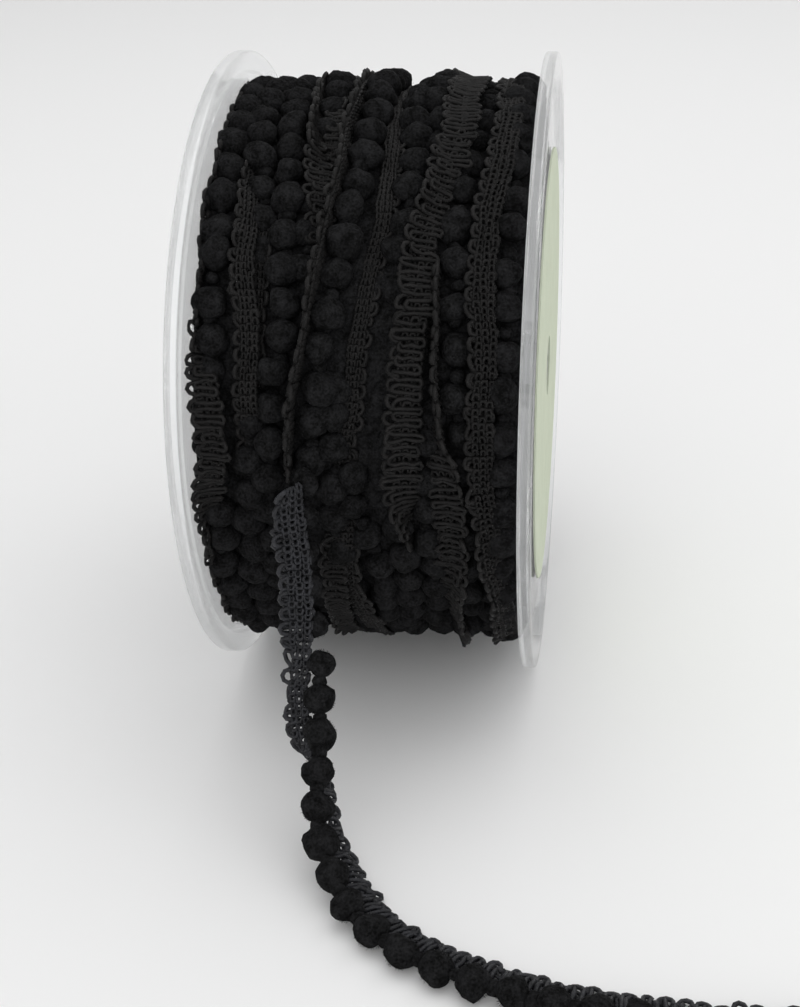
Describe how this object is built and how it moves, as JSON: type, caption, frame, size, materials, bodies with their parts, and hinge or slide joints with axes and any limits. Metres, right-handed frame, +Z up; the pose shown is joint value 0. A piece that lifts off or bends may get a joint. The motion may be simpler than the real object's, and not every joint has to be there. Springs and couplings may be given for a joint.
{
  "type": "pompom fringe trim on a clear spool",
  "caption": "Black mini pompom fringe with a looped knitted heading, wound on a clear flanged spool with a plain label, its free end hanging down and running along the surface.",
  "frame": {"origin": "on the surface that the spool stands on, below the middle of its axle", "axes": "+X along the axle towards the labelled flange, -Y towards the side that the loose end hangs off, +Z up"},
  "size_m": [0.0965, 0.1522, 0.1016],
  "materials": {
    "clear_plastic": "clear, glossy, moulded",
    "label_paper": "matte printed paper, plain",
    "black_plush": "cut plush pile, matte",
    "black_yarn": "filament yarn, soft sheen"
  },
  "bodies": {
    "root": {"spool_flange_left": "clear_plastic", "spool_flange_right": "clear_plastic", "spool_core": "clear_plastic", "label": "label_paper", "winding": "black_plush", "loose_end": "black_yarn"}
  },
  "joints": []
}
